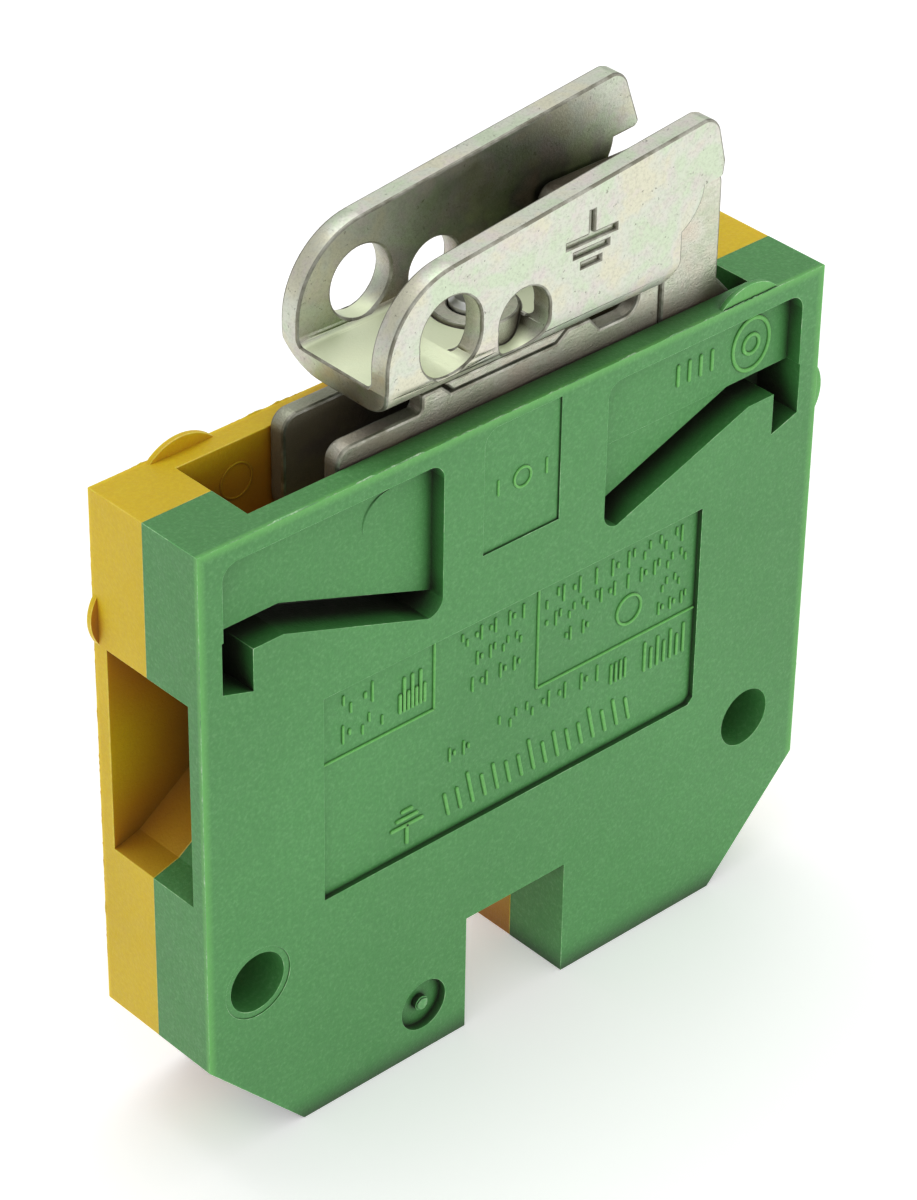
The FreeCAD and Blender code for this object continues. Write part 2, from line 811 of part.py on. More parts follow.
def make_nut_plate(doc):
    """Threaded plate staked under the clamp's web; its ears sit in the frame."""
    body = make_body(doc, "clamp_nut_plate")
    sketch = make_sketch(body, "PlateSketch", "XZ_Plane", "- nut_half_width")
    add_path(sketch, [
        ("nut_left_low", "nut_base"),
        ("nut_right_low", "nut_base"),
        ("nut_right", "clamp_base"),
        ("nut_left", "clamp_base"),
    ])
    pad(body, sketch, "Plate", "nut_half_width + nut_half_width")
    sketch = make_sketch(body, "CollarSketch", "XY_Plane", "clamp_base")
    add_circle(sketch, "0", "0", "web_hole_radius")
    pad(body, sketch, "Collar", "nut_collar_top - clamp_base")
    sketch = make_sketch(body, "ThreadSketch", "XY_Plane", "nut_base - 1")
    add_circle(sketch, "0", "0", "nut_bore")
    pocket(body, sketch, "Thread", "nut_collar_top - nut_base + 2", reverse=True)
    return body


# ----------------------------------------------------------------- screws


def make_screw(doc, label, x, sizes):
    """Slotted cheese-head screw, head down, on the line X = x, Y = 0."""
    head_radius, shank_radius, low, top, tip = sizes
    body = make_body(doc, label)
    sketch = make_sketch(body, "HeadSketch", "XY_Plane", low)
    add_circle(sketch, x, "0", head_radius)
    pad(body, sketch, "Head", top + " - " + low)
    sketch = make_sketch(body, "ShankSketch", "XY_Plane", top)
    add_circle(sketch, x, "0", shank_radius)
    pad(body, sketch, "Shank", tip + " - " + top)
    dress(body, "Chamfer", "TipChamfer", "screw_edge", round_edge(tip))
    dress(body, "Chamfer", "HeadChamfer", "screw_edge", round_edge(low))
    sketch = make_sketch(body, "SlotSketch", "XY_Plane", low)
    add_path(sketch, rectangle(
        x + " - slot_half", "- slot_reach", x + " + slot_half", "slot_reach"))
    pocket(body, sketch, "DriverSlot", "slot_cut", reverse=True)
    return body


def round_edge(level):
    """Test for a whole circle that lies flat at a level."""

    def test(edge):
        if not isinstance(edge.Curve, Part.Circle):
            return False
        return abs(edge.Curve.Center.z - value(level)) < 1e-6

    return test


def make_washer(doc):
    """Split lock washer under the head of the foot screw."""
    body = make_body(doc, "foot_screw_washer")
    sketch = make_sketch(body, "RingSketch", "XY_Plane", "foot_head_top")
    add_circle(sketch, "0", "0", "washer_outer")
    add_circle(sketch, "0", "0", "washer_inner")
    pad(body, sketch, "Ring", "bar_base - foot_head_top")
    sketch = make_sketch(body, "SplitSketch", "XY_Plane", "foot_head_top")
    add_path(sketch, [
        ("washer_inner - 0.4", "- washer_gap"),
        ("washer_outer + 1", "0"),
        ("washer_outer + 1", "washer_gap"),
        ("washer_inner - 0.4", "0"),
    ])
    pocket(body, sketch, "Split", "bar_base - foot_head_top", reverse=True)
    return body


# ------------------------------------------------------------ wire clamps


def make_yoke(doc, label, x):
    """Rectangular clamp loop: threaded block below the bar, jaw above the wire."""
    body = make_body(doc, label)
    left = x + " - yoke_half_length"
    right = x + " + yoke_half_length"
    sketch = make_sketch(body, "BlockSketch", "XY_Plane", "yoke_low")
    add_path(sketch, rectangle(left, "- yoke_half_width", right, "yoke_half_width"))
    pad(body, sketch, "Block", "yoke_high - yoke_low")
    sketch = make_sketch(body, "WindowSketch", "YZ_Plane", right + " + 1")
    add_path(sketch, rectangle(
        "- yoke_window_half", "yoke_window_low", "yoke_window_half", "yoke_window_high"))
    pocket(body, sketch, "Window", "yoke_half_length + yoke_half_length + 2")
    sketch = make_sketch(body, "ThreadSketch", "XY_Plane", "yoke_low - 1")
    add_circle(sketch, x, "0", "yoke_bore")
    pocket(body, sketch, "Thread", "yoke_window_low - yoke_low + 2", reverse=True)
    dress(body, "Fillet", "TopCorners", "yoke_corner",
          edge_at(z=value("yoke_high"), along=0))
    return body


# ------------------------------------------------------------------- main


def check_document(doc, bodies):
    """Stop before writing if anything failed or is not a sound solid."""
    for item in doc.Objects:
        if "Invalid" in item.State or "Error" in item.State:
            raise RuntimeError(f"{item.Label} is {item.State}")
    for body in bodies:
        shape = body.Shape
        if shape.isNull() or not shape.isValid() or not shape.Solids:
            raise RuntimeError(f"{body.Label} is not a valid solid")
        if len(shape.Solids) != 1:
            raise RuntimeError(f"{body.Label} has {len(shape.Solids)} solids")


def main():
    doc = FreeCAD.newDocument("TerminalBlock")
    make_sheet(doc)
    foot_screw = (
        "foot_head_radius", "foot_screw_radius",
        "foot_head_low", "foot_head_top", "foot_screw_tip",
    )
    clamp_screw = (
        "clamp_head_radius", "clamp_screw_radius",
        "clamp_head_low", "clamp_head_top", "clamp_screw_tip",
    )
    bodies = [
        make_shell(doc, "front_shell", 0, "marker_left", "marker_right"),
        make_shell(doc, "rear_shell", 180, "marker_right", "marker_left"),
        make_foot_frame(doc),
        make_current_bar(doc),
        make_rail_clamp(doc),
        make_nut_plate(doc),
        make_screw(doc, "foot_screw", "0", foot_screw),
        make_washer(doc),
    ]
    for side, x in (("left", "- clamp_place"), ("right", "clamp_place")):
        bodies.append(make_yoke(doc, side + "_clamp_yoke", x))
        bodies.append(make_screw(doc, side + "_clamp_screw", x, clamp_screw))
    doc.recompute()
    check_document(doc, bodies)
    os.makedirs(PARTS_FOLDER, exist_ok=True)
    for body in bodies:
        body.Shape.exportStep(f"{PARTS_FOLDER}/{body.Label}.step")
        box = body.Shape.BoundBox
        print(f"{body.Label:20s} volume {body.Shape.Volume:8.1f} mm3  "
              f"x {box.XMin:.2f}..{box.XMax:.2f}  y {box.YMin:.2f}..{box.YMax:.2f}  "
              f"z {box.ZMin:.2f}..{box.ZMax:.2f}")


main()
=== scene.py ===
"""Looks of the protective-earth rail terminal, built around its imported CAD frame.

Metres, +Z up, the block standing on its two legs.  The green half faces -Y.
Sizes here are in mm, times MM.  The outer faces and ends come from the frame's boxes.
"""

from math import cos, pi, radians, sin

import bmesh
import bpy
from mathutils import Matrix, Vector, noise


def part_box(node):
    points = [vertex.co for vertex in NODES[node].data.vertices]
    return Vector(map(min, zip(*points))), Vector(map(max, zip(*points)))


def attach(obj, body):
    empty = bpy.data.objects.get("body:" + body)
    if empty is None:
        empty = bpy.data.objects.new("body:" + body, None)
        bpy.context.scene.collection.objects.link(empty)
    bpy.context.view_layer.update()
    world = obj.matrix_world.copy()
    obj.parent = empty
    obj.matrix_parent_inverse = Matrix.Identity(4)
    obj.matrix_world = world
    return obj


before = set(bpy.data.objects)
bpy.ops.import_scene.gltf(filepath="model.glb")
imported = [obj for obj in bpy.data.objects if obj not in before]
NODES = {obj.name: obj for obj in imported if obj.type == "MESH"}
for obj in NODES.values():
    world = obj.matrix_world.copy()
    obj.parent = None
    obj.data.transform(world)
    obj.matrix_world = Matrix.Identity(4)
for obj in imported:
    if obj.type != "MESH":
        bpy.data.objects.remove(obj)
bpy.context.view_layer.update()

MM = 0.001
scene = bpy.context.scene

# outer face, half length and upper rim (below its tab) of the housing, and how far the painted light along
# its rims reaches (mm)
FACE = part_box("rear_shell")[1].y / MM
HALF_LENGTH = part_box("rear_shell")[1].x / MM
RIM = 36.7
RIM_LIGHT_REACH = 0.5


# ---------------------------------------------------------------- node helpers


class Graph:
    """A material's node tree, with short calls for the nodes that the looks need."""

    def __init__(self, name):
        self.material = bpy.data.materials.new(name)
        self.material.use_nodes = True
        self.tree = self.material.node_tree
        self.shader = self.tree.nodes["Principled BSDF"]
        self.place = self.tree.nodes.new("ShaderNodeTexCoord").outputs["Object"]

    def link(self, source, target):
        self.tree.links.new(source, target)

    def feed(self, node, name, content):
        """Sets an input to a number or colour, or links a socket to it."""
        target = node.inputs[name]
        if isinstance(content, bpy.types.NodeSocket):
            self.link(content, target)
        else:
            target.default_value = content

    def stretched(self, scale, turn=(0.0, 0.0, 0.0)):
        mapping = self.tree.nodes.new("ShaderNodeMapping")
        mapping.inputs["Scale"].default_value = scale
        mapping.inputs["Rotation"].default_value = turn
        self.link(self.place, mapping.inputs["Vector"])
        return mapping.outputs["Vector"]

    def noise(self, size_mm, detail=2.0, rough=0.5, place=None, distortion=0.0):
        """Noise whose blobs are about size_mm across."""
        node = self.tree.nodes.new("ShaderNodeTexNoise")
        node.inputs["Scale"].default_value = 1.0 / (size_mm * MM)
        node.inputs["Detail"].default_value = detail
        node.inputs["Roughness"].default_value = rough
        node.inputs["Distortion"].default_value = distortion
        self.link(place or self.place, node.inputs["Vector"])
        return node.outputs["Fac"]

    def axis(self, name):
        """Distance along one axis of the frame, in mm, always positive."""
        split = self.tree.nodes.new("ShaderNodeSeparateXYZ")
        self.link(self.place, split.inputs[0])
        return self.math("DIVIDE", self.math("ABSOLUTE", split.outputs[name]), MM)

    def upness(self):
        """1 on faces that look up, 0 on upright ones."""
        split = self.tree.nodes.new("ShaderNodeSeparateXYZ")
        facing = self.tree.nodes.new("ShaderNodeNewGeometry").outputs["Normal"]
        self.link(facing, split.inputs[0])
        return self.span(split.outputs["Z"], 0.55, 0.9)

    def ramp(self, factor, *stops):
        """A colour ramp through stops (position, colour)."""
        node = self.tree.nodes.new("ShaderNodeValToRGB")
        elements = node.color_ramp.elements
        while len(elements) < len(stops):
            elements.new(0.5)
        for element, (position, colour) in zip(elements, stops):
            element.position = position
            element.color = (*colour, 1.0)
        self.link(factor, node.inputs["Fac"])
        return node.outputs["Color"]

    def span(self, factor, low, high, to_low=0.0, to_high=1.0):
        node = self.tree.nodes.new("ShaderNodeMapRange")
        node.inputs["From Min"].default_value = low
        node.inputs["From Max"].default_value = high
        node.inputs["To Min"].default_value = to_low
        node.inputs["To Max"].default_value = to_high
        self.link(factor, node.inputs["Value"])
        return node.outputs["Result"]

    def math(self, operation, first, second=0.0):
        node = self.tree.nodes.new("ShaderNodeMath")
        node.operation = operation
        for index, content in enumerate((first, second)):
            self.feed(node, index, content)
        return node.outputs["Value"]

    def mix(self, factor, first, second):
        node = self.tree.nodes.new("ShaderNodeMix")
        node.data_type = "RGBA"
        self.feed(node, "Factor", factor)
        for index, content in ((6, first), (7, second)):
            if not isinstance(content, bpy.types.NodeSocket):
                content = (*content, 1.0)
            self.feed(node, index, content)
        return node.outputs[2]

    def openness(self, reach_mm):
        """1 in the open, towards 0 deep in a slot or hole."""
        node = self.tree.nodes.new("ShaderNodeAmbientOcclusion")
        node.samples = 8
        node.inputs["Distance"].default_value = reach_mm * MM
        return node.outputs["AO"]

    def bump(self, height, depth_mm, strength):
        node = self.tree.nodes.new("ShaderNodeBump")
        node.inputs["Strength"].default_value = strength
        node.inputs["Distance"].default_value = depth_mm * MM
        self.link(height, node.inputs["Height"])
        return node.outputs["Normal"]

    def finish(self, **inputs):
        for name, content in inputs.items():
            self.feed(self.shader, name.replace("_", " "), content)
        return self.material


# ------------------------------------------------------------------- materials


def polyamide(name, tones, flecks, shade_reach, shade_span, height_shade_bias, glow, glow_reach, gloss):
    """Satin moulded nylon: fine eroded-mould grain, faint flow marks, a translucent body with painted light
    along its rims, and painted shade in its hollows.
    """
    look = Graph(name)
    colour, pale, lit, shade, deep_shade = tones
    flow = look.noise(14.0, 2.0, 0.5)
    mottle = look.noise(0.9, 3.0, 0.6)
    fleck = look.noise(0.22, 2.0, 0.7)
    thin, full = (tuple(c * share for c in colour) for share in (0.94, 1.05))
    body = look.ramp(flow, (0.36, thin), (0.64, full))
    body = look.mix(look.span(fleck, 0.38, 0.62, flecks, 0.0), body, shade)
    body = look.mix(look.span(fleck, 0.56, 0.70, 0.0, flecks * 0.5), body, pale)
    # painted light: the outer face turns to the lit tone near the ends and the top rim
    rim = look.math(
        "MAXIMUM",
        look.span(look.axis("X"), HALF_LENGTH - RIM_LIGHT_REACH, HALF_LENGTH),
        look.span(look.axis("Z"), RIM - RIM_LIGHT_REACH, RIM),
    )
    rim = look.math("MULTIPLY", rim, look.span(look.axis("Y"), FACE - 0.3, FACE - 0.05, 0.0, 0.8))
    body = look.mix(rim, body, lit)
    # painted shade: ambient occlusion darkens the colour in slots, holes and corners, and a bias by height
    # can make it darker low down and lighter high up
    upper = look.span(look.axis("Z"), 29.0, 32.0, *height_shade_bias)
    shade_openness = look.math("ADD", look.openness(shade_reach), upper)
    body = look.mix(look.span(shade_openness, shade_span[1], shade_span[2], 1.0, 0.0), body, shade)
    body = look.mix(look.span(shade_openness, shade_span[0], shade_span[1], 1.0, 0.0), body, deep_shade)
    grain = look.noise(0.16, 2.0, 0.65)
    normal = look.bump(grain, 0.03, 0.8)
    shine = look.span(mottle, 0.3, 0.7, 0.40, 0.52)
    look.shader.subsurface_method = "RANDOM_WALK"
    look.shader.inputs["Subsurface Weight"].default_value = 0.22
    look.shader.inputs["Subsurface Radius"].default_value = glow
    look.shader.inputs["Subsurface Scale"].default_value = glow_reach * MM
    look.shader.inputs["Specular IOR Level"].default_value = gloss
    return look.finish(Base_Color=body, Roughness=shine, Normal=normal)


def edge_burr_and_highlight(name, plain, colour, pale, deep_shade):
    """The pale line along a moulded edge, part whitened burr and part painted highlight: it comes and goes,
    and painted shade dims it in slots.
    """
    look = Graph(name)
    burr_and_glint = look.noise(0.5, 4.0, 0.7)
    body = look.ramp(burr_and_glint, (0.42, colour), (0.68, pale))
    body = look.mix(look.span(look.noise(2.6, 2.0, 0.5), 0.40, 0.56, 0.75, 0.0), body, plain)
    body = look.mix(look.span(look.openness(2.0), 0.38, 0.66, 1.0, 0.0), body, deep_shade)
    normal = look.bump(look.noise(0.12, 2.0), 0.02, 0.6)
    look.shader.inputs["Subsurface Weight"].default_value = 0.3
    look.shader.inputs["Subsurface Radius"].default_value = (0.4, 1.0, 0.4)
    look.shader.inputs["Subsurface Scale"].default_value = 0.5 * MM
    look.shader.inputs["Roughness"].default_value = 0.34
    return look.finish(Base_Color=body, Normal=normal)


def zinc_plate(
    name, silver, tints, roughness, grain_depth, shades_and_pits, hollow_shade_span, level_light=None, rim_shade=None, bare_and_shaded_from=None,
):
    """Zinc-plated sheet steel: faint iridescent film, fine grain, few pits, painted brown-green shade in its
    hollows.

    The last three arguments, in order, give the colour of painted light on level faces and the
    height that they lie below; two heights between which a painted shade fades, and its strength;
    and the height above which the sheared top faces are dark, part bare steel and part painted shade.
    """
    look = Graph(name)
    film = look.noise(3.0, 3.0, 0.6, distortion=0.4)
    bloom = look.noise(1.7, 4.0, 0.65, look.stretched((1.0, 1.0, 1.0), (0.6, 0.4, 0.2)))
    body = look.ramp(film, (0.40, tints[0]), (0.50, silver), (0.60, tints[1]))
    body = look.mix(look.span(bloom, 0.50, 0.66, 0.0, 0.7), body, tints[2])
    grain = look.noise(0.15, 3.0, 0.7)
    body = look.mix(look.span(grain, 0.46, 0.70, 0.0, 0.18), body, shades_and_pits[0])
    pits = look.noise(0.34, 2.0, 0.8)
    body = look.mix(look.span(pits, 0.665, 0.72, 0.0, 0.5), body, shades_and_pits[0])
    # painted shade on the frame just above the housing rim, fading upwards
    if rim_shade:
        body = look.mix(look.span(look.axis("Z"), *rim_shade, 0.0), body, shades_and_pits[0])
    # painted shade: ambient occlusion darkens hollows to brown-green, less on faces that look up
    hollow_shade_tones = look.ramp(look.noise(4.0, 3.0, 0.6), (0.40, shades_and_pits[1]), (0.50, shades_and_pits[0]), (0.60, shades_and_pits[2]))
    hollow_shade = look.span(look.openness(9.0), *hollow_shade_span, 0.94, 0.0)
    hollow_shade = look.math("MULTIPLY", hollow_shade, look.span(look.upness(), 0.0, 1.0, 1.0, 0.12))
    body = look.mix(hollow_shade, body, hollow_shade_tones)
    shade_or_light = hollow_shade
    # painted light: level faces below the given height take a bright colour and lose some metal look
    if level_light:
        colour, level = level_light
        low = look.span(look.axis("Z"), level, level + 0.5, 1.0, 0.0)
        shade_or_light = look.math("MULTIPLY", look.upness(), low)
        body = look.mix(look.math("MULTIPLY", shade_or_light, 0.88), body, colour)
    metal = look.math("SUBTRACT", 1.0, look.math("MULTIPLY", shade_or_light, 0.6))
    # the sheared top faces go dark: bare steel, and painted shade between the plates
    if bare_and_shaded_from:
        high = look.span(look.axis("Z"), bare_and_shaded_from, bare_and_shaded_from + 0.5, 0.0, 0.93)
        bare_and_shaded_tops = look.math("MULTIPLY", look.upness(), high)
        body = look.mix(bare_and_shaded_tops, body, shades_and_pits[0])
    scratch = look.noise(0.9, 5.0, 0.75, look.stretched((0.16, 1.0, 2.4), (0.0, radians(24), 0.0)))
    fine = look.noise(0.13, 3.0, 0.7)
    height = look.math("ADD", look.math("MULTIPLY", scratch, 0.6), fine)
    normal = look.bump(height, grain_depth, 0.9)
    shine = look.span(look.math("ADD", bloom, look.math("MULTIPLY", grain, 0.4)), 0.5, 0.95, *roughness)
    return look.finish(Base_Color=body, Roughness=shine, Normal=normal, Metallic=metal)


def dull_and_shaded_sheet_edge(name, silver, shade_colour):
    """The dark line along the sheet's punched and rolled edges: partly its dull broken surface, partly
    painted shade.
    """
    look = Graph(name)
    body = look.ramp(look.noise(1.1, 4.0, 0.6), (0.40, shade_colour), (0.72, silver))
    look.shader.inputs["Metallic"].default_value = 1.0
    look.shader.inputs["Roughness"].default_value = 0.5
    return look.finish(Base_Color=body, Normal=look.bump(look.noise(0.15, 3.0), 0.02, 0.8))


def machined(name, colour, shade_colour, roughness):
    """Turned or headed screw steel: rings of tool marks and painted shade in the corners."""
    look = Graph(name)
    cloud = look.noise(1.1, 3.0, 0.6)
    body = look.ramp(cloud, (0.35, tuple(c * 0.82 for c in colour)), (0.65, colour))
    # painted shade in the corners
    hollow_shade = look.span(look.openness(0.8), 0.15, 0.6, 0.7, 0.0)
    body = look.mix(hollow_shade, body, shade_colour)
    normal = look.bump(look.noise(0.12, 3.0, 0.6, look.stretched((1.0, 1.0, 0.3))), 0.008, 0.6)
    shine = look.span(cloud, 0.3, 0.7, *roughness)
    look.shader.inputs["Metallic"].default_value = 1.0
    return look.finish(Base_Color=body, Roughness=shine, Normal=normal)


# GREEN_LIT and the third of YELLOW_TONES are painted light; the SHADE and DEEP tones are painted shade, and
# the SHADE tones also colour dark flecks
GREEN = (0.075, 0.270, 0.074)
GREEN_LIT = (0.14, 0.44, 0.10)
GREEN_SHADE = (0.030, 0.150, 0.030)
GREEN_DEEP_SHADE = (0.018, 0.022, 0.013)
GREEN_TONES = (GREEN, (0.22, 0.44, 0.20), GREEN_LIT, GREEN_SHADE, GREEN_DEEP_SHADE)
YELLOW = (0.67, 0.475, 0.007)
YELLOW_SHADE = (0.42, 0.17, 0.008)
YELLOW_DEEP_SHADE = (0.14, 0.078, 0.018)
YELLOW_TONES = (YELLOW, (0.76, 0.58, 0.04), (0.76, 0.56, 0.010), YELLOW_SHADE, YELLOW_DEEP_SHADE)
SILVER = (0.63, 0.65, 0.56)
FILM = ((0.58, 0.66, 0.50), (0.66, 0.65, 0.51), (0.66, 0.60, 0.58))
# dark tones of the zinc: the first also darkens grain and pits, and all three are painted shade in hollows
HOLLOW_SHADES_AND_PITS = ((0.060, 0.060, 0.032), (0.130, 0.088, 0.058), (0.120, 0.155, 0.050))
FRAME_FILM = ((0.56, 0.60, 0.46), (0.66, 0.60, 0.50), (0.68, 0.66, 0.54))
FRAME_HOLLOW_SHADES_AND_PITS = ((0.150, 0.120, 0.090), (0.140, 0.120, 0.092), (0.18, 0.15, 0.09))


def make_looks():
    return {
        "green": polyamide(
            "green_polyamide_look", GREEN_TONES, 0.30,
            2.4, (0.42, 0.66, 0.82), (0.0, 0.0), (0.35, 1.0, 0.35), 0.6, 0.40,
        ),
        "yellow": polyamide(
            "yellow_polyamide_look", YELLOW_TONES, 0.13,
            6.0, (0.12, 0.56, 0.88), (-0.11, 0.22), (1.0, 0.55, 0.08), 1.1, 0.30,
        ),
        # the raised green marks take GREEN_LIT, a painted light on the strokes
        "green_lit_marks": polyamide(
            "green_print_look", (GREEN_LIT, *GREEN_TONES[1:]), 0.20,
            0.5, (0.10, 0.20, 0.62), (0.0, 0.0), (0.35, 1.0, 0.35), 0.6, 0.40,
        ),
        "yellow_print": polyamide(
            "yellow_print_look", YELLOW_TONES, 0.10,
            0.5, (0.10, 0.20, 0.62), (0.0, 0.0), (1.0, 0.55, 0.08), 1.1, 0.30,
        ),
        "green_edge": edge_burr_and_highlight("green_edge_look", GREEN, (0.12, 0.40, 0.12), (0.50, 0.74, 0.44), GREEN_DEEP_SHADE),
        "yellow_edge": edge_burr_and_highlight(
            "yellow_edge_look", YELLOW, (0.72, 0.52, 0.02), (0.82, 0.64, 0.10), YELLOW_SHADE,
        ),
        "zinc": zinc_plate(
            "zinc_plate_look", SILVER, FILM, (0.38, 0.56), 0.016, HOLLOW_SHADES_AND_PITS, (0.30, 0.70),
            # painted light on the clamp's level faces
            level_light=((0.92, 1.0, 0.70), 40.6),
        ),
        "zinc_edge": dull_and_shaded_sheet_edge("zinc_edge_look", (0.46, 0.46, 0.40), (0.20, 0.195, 0.15)),
        "frame": zinc_plate(
            "frame_steel_look", (0.66, 0.66, 0.56), FRAME_FILM, (0.40, 0.60), 0.050, FRAME_HOLLOW_SHADES_AND_PITS,
            # the frame's painted shade above the housing rim, and its dark sheared tops
            (0.30, 0.74), rim_shade=(RIM - 0.3, RIM + 1.8, 0.85), bare_and_shaded_from=42.5,
        ),
        "screw": machined("screw_steel_look", (0.62, 0.63, 0.60), (0.05, 0.05, 0.04), (0.24, 0.42)),
        "copper": machined("tinned_copper_look", (0.72, 0.68, 0.62), (0.08, 0.06, 0.05), (0.22, 0.38)),
    }


# node: (look, look of its edges, edge width in mm)
FINISHES = {
    # edge looks colour the rounded corners: whitened burr with painted highlight on the housing, a dull edge
    # with painted shade on the sheet
    "front_shell": ("green", "green_edge", 0.11),
    "rear_shell": ("yellow", "yellow_edge", 0.11),
    "foot_frame": ("frame", "zinc_edge", 0.16),
    "current_bar": ("copper", None, 0.05),
    "foot_screw_washer": ("screw", None, 0.05),
    "rail_clamp": ("zinc", "zinc_edge", 0.13),
    "clamp_nut_plate": ("frame", "zinc_edge", 0.10),
    "foot_screw": ("screw", None, 0.04),
    "left_clamp_yoke": ("zinc", None, 0.08),
    "right_clamp_yoke": ("zinc", None, 0.08),
    "left_clamp_screw": ("screw", None, 0.04),
    "right_clamp_screw": ("screw", None, 0.04),
}


# sheet parts, whose many narrow bend faces may not limit the width of the rounding
PRESSED = ("rail_clamp", "foot_frame")
# an edge that turns more than this is a corner
SHARP = radians(38)


def make_edge_picker():
    """Node group that gives outward corners full bevel weight and marks the inward ones sharp."""
    group = bpy.data.node_groups.new("pick_outward_corners", "GeometryNodeTree")
    group.interface.new_socket("Geometry", in_out="INPUT", socket_type="NodeSocketGeometry")
    group.interface.new_socket("Geometry", in_out="OUTPUT", socket_type="NodeSocketGeometry")
    source = group.nodes.new("NodeGroupInput")
    result = group.nodes.new("NodeGroupOutput")
    angle = group.nodes.new("GeometryNodeInputMeshEdgeAngle")
    flow = source.outputs[0]
    limits = (
        ("bevel_weight_edge", "FLOAT", "GREATER_THAN", SHARP),
        ("sharp_edge", "BOOLEAN", "LESS_THAN", -SHARP),
    )
    for name, kind, operation, limit in limits:
        compare = group.nodes.new("FunctionNodeCompare")
        compare.data_type = "FLOAT"
        compare.operation = operation
        compare.inputs[1].default_value = limit
        group.links.new(angle.outputs["Signed Angle"], compare.inputs[0])
        store = group.nodes.new("GeometryNodeStoreNamedAttribute")
        store.data_type = kind
        store.domain = "EDGE"
        store.inputs["Name"].default_value = name
        group.links.new(flow, store.inputs["Geometry"])
        group.links.new(compare.outputs[0], store.inputs["Value"])
        flow = store.outputs["Geometry"]
    group.links.new(flow, result.inputs[0])
    return group


EDGE_PICKER = make_edge_picker()


def soften_edges(piece, width_mm, edge_slot, keep_width):
    """Rounds a CAD node's outward corners with modifiers; its own mesh is left as it is."""
    weld = piece.modifiers.new("weld", "WELD")
    weld.merge_threshold = 0.0005 * MM
    flat = piece.modifiers.new("flat_faces", "DECIMATE")
    flat.decimate_type = "DISSOLVE"
    flat.angle_limit = radians(0.6)
    flat.delimit = set()
    picker = piece.modifiers.new("outward_corners", "NODES")
    picker.node_group = EDGE_PICKER
    edge = piece.modifiers.new("round_edges", "BEVEL")
    edge.width = width_mm * MM
    edge.segments = 2
    edge.limit_method = "WEIGHT"
    edge.use_clamp_overlap = not keep_width
    edge.miter_outer = "MITER_ARC"
    edge.material = edge_slot
    even = piece.modifiers.new("even_shade", "WEIGHTED_NORMAL")
    even.keep_sharp = True
    even.weight = 80


def dress_nodes(looks):
    for name, (look, edge_look, width) in FINISHES.items():
        piece = NODES[name]
        piece.data.materials.clear()
        piece.data.materials.append(looks[look])
        edge_slot = -1
        if edge_look:
            piece.data.materials.append(looks[edge_look])
            edge_slot = 1
        soften_edges(piece, width, edge_slot, keep_width=name in PRESSED)


# ------------------------------------------------------------- moulded details

# how far from the middle plane the faces lie that carry marks, and how high the marks stand (mm)
PANEL_FLOOR = FACE - 0.30
RECESS_FLOOR = FACE - 0.90
BADGE_FLOOR = FACE - 0.12
GATE_STUB = FACE - 0.15
CAVITY_WALL = 2.6
MARK_RISE = 0.11
# how far marks reach into the face under them (mm)
MARK_ROOT = 0.03


